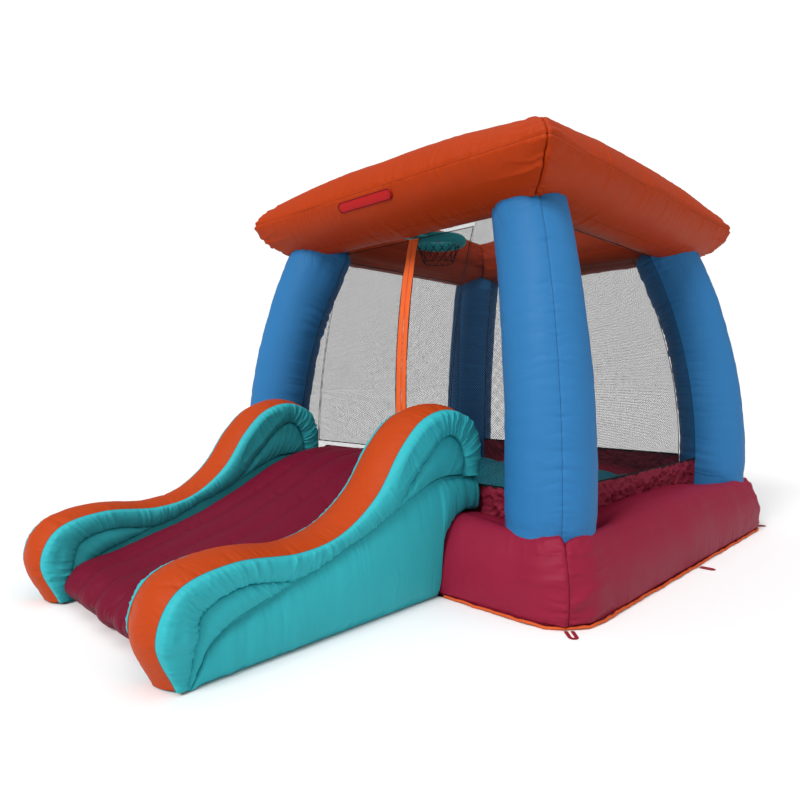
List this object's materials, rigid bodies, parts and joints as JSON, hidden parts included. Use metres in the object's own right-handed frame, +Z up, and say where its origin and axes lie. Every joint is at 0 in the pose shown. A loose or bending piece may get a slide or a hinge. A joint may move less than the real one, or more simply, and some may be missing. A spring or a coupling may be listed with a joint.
{
  "type": "inflatable bounce house",
  "caption": "Square inflatable bounce house with corner columns, a canopy ring, net walls and a walled slide at the entry.",
  "frame": {"origin": "middle of the footprint's bounding box, on the ground", "axes": "+Z up, +Y from the foot of the slide towards the back of the house, +X to the right when facing the house from the slide"},
  "size_m": [2.62, 3.9724, 2.0183],
  "materials": {
    "nylon_crimson": "smooth woven nylon",
    "pvc_underside": "matt coated cloth",
    "piping_orange": "woven tape",
    "nylon_teal": "smooth woven nylon",
    "web_white": "plain woven nylon",
    "nylon_blue": "smooth woven nylon",
    "nylon_orange": "smooth woven nylon",
    "net_black": "knitted mesh",
    "skirt_maroon": "gathered woven nylon",
    "binding_orange": "woven tape",
    "badge_red": "printed cloth",
    "nylon_turquoise": "smooth woven nylon",
    "nylon_maroon": "smooth woven nylon",
    "sleeve_crimson": "plain woven nylon",
    "webbing_black": "ribbed webbing",
    "plastic_black": "moulded",
    "zip_tape": "zip tape with coil",
    "webbing_red": "ribbed webbing"
  },
  "bodies": {
    "house": {"base_tube_front": "nylon_crimson", "base_tube_right": "nylon_crimson", "base_tube_back": "nylon_crimson", "base_tube_left": "nylon_crimson", "ground_sheet": "pvc_underside", "base_piping": "piping_orange", "bounce_floor": "nylon_teal", "floor_webs": "web_white", "slide_bed_webs": "web_white", "column_front_right": "nylon_blue", "column_back_right": "nylon_blue", "column_back_left": "nylon_blue", "column_front_left": "nylon_blue", "canopy_tube_front": "nylon_orange", "canopy_tube_right": "nylon_orange", "canopy_tube_back": "nylon_orange", "canopy_tube_left": "nylon_orange", "slide_wall_left_band": "nylon_orange", "slide_wall_right_band": "nylon_orange", "roof_net": "net_black", "net_left": "net_black", "net_right": "net_black", "net_back": "net_black", "net_front_left": "net_black", "net_front_right": "net_black", "hoop_net": "net_black", "skirt_left": "skirt_maroon", "skirt_right": "skirt_maroon", "skirt_back": "skirt_maroon", "skirt_front_left": "skirt_maroon", "skirt_front_right": "skirt_maroon", "badge_patch": "badge_red", "hoop_ring": "nylon_turquoise", "hoop_tabs": "nylon_turquoise", "slide_wall_left": "nylon_turquoise", "slide_wall_right": "nylon_turquoise", "slide_support_left": "nylon_turquoise", "slide_support_right": "nylon_turquoise", "slide_wall_left_panels": "nylon_turquoise", "slide_wall_right_panels": "nylon_turquoise", "slide_bed": "nylon_maroon", "inlet_sleeve": "sleeve_crimson", "vent_flap_hem": "sleeve_crimson", "inlet_strap": "webbing_black", "inlet_buckle": "plastic_black", "vent_zip_tape": "zip_tape"},
    "entry_flap_left": {"entry_net_left": "net_black", "entry_binding_left": "binding_orange"},
    "entry_flap_right": {"entry_net_right": "net_black", "entry_binding_right": "binding_orange"},
    "vent_cover": {"vent_flap": "sleeve_crimson"},
    "zip_slider": {"vent_zip_slider": "plastic_black"},
    "loop_front_right": {"anchor_loop_front_right": "webbing_red"},
    "loop_back_right": {"anchor_loop_back_right": "webbing_red"},
    "loop_back_left": {"anchor_loop_back_left": "webbing_red"},
    "loop_front_left": {"anchor_loop_front_left": "webbing_red"},
    "loop_right": {"anchor_loop_right": "webbing_red"},
    "loop_back": {"anchor_loop_back": "webbing_red"},
    "loop_left": {"anchor_loop_left": "webbing_red"}
  },
  "joints": [
    {"name": "entry_flap_left_swing", "type": "hinge", "parent": "house", "child": "entry_flap_left", "pos_m": [-0.6, -0.4068, 1.098], "axis": [0, -0.1686, -0.9857], "range_deg": [0, 80]},
    {"name": "entry_flap_right_swing", "type": "hinge", "parent": "house", "child": "entry_flap_right", "pos_m": [0.39, -0.4068, 1.098], "axis": [0, 0.1686, 0.9857], "range_deg": [0, 80]},
    {"name": "vent_cover_lift", "type": "hinge", "parent": "house", "child": "vent_cover", "pos_m": [-0.42, 1.7156, 0.1865], "axis": [1, 0, 0], "range_deg": [0, 140]},
    {"name": "zip_slider_travel", "type": "slide", "parent": "house", "child": "zip_slider", "axis": [1, 0, 0], "range_m": [0, 0.284]},
    {"name": "loop_front_right_lift", "type": "hinge", "parent": "house", "child": "loop_front_right", "pos_m": [1.17615, -0.69254, 0.004], "axis": [-0.7071, -0.7071, 0], "range_deg": [0, 90]},
    {"name": "loop_back_right_lift", "type": "hinge", "parent": "house", "child": "loop_back_right", "pos_m": [1.17615, 1.65975, 0.004], "axis": [0.7071, -0.7071, 0], "range_deg": [0, 90]},
    {"name": "loop_back_left_lift", "type": "hinge", "parent": "house", "child": "loop_back_left", "pos_m": [-1.17615, 1.65975, 0.004], "axis": [0.7071, 0.7071, 0], "range_deg": [0, 90]},
    {"name": "loop_front_left_lift", "type": "hinge", "parent": "house", "child": "loop_front_left", "pos_m": [-1.17615, -0.69254, 0.004], "axis": [-0.7071, 0.7071, 0], "range_deg": [0, 90]},
    {"name": "loop_right_lift", "type": "hinge", "parent": "house", "child": "loop_right", "pos_m": [1.24, 0.48361, 0.004], "axis": [0, -1, 0], "range_deg": [0, 90]},
    {"name": "loop_back_lift", "type": "hinge", "parent": "house", "child": "loop_back", "pos_m": [0, 1.72361, 0.004], "axis": [1, 0, 0], "range_deg": [0, 90]},
    {"name": "loop_left_lift", "type": "hinge", "parent": "house", "child": "loop_left", "pos_m": [-1.24, 0.48361, 0.004], "axis": [0, 1, 0], "range_deg": [0, 90]}
  ]
}
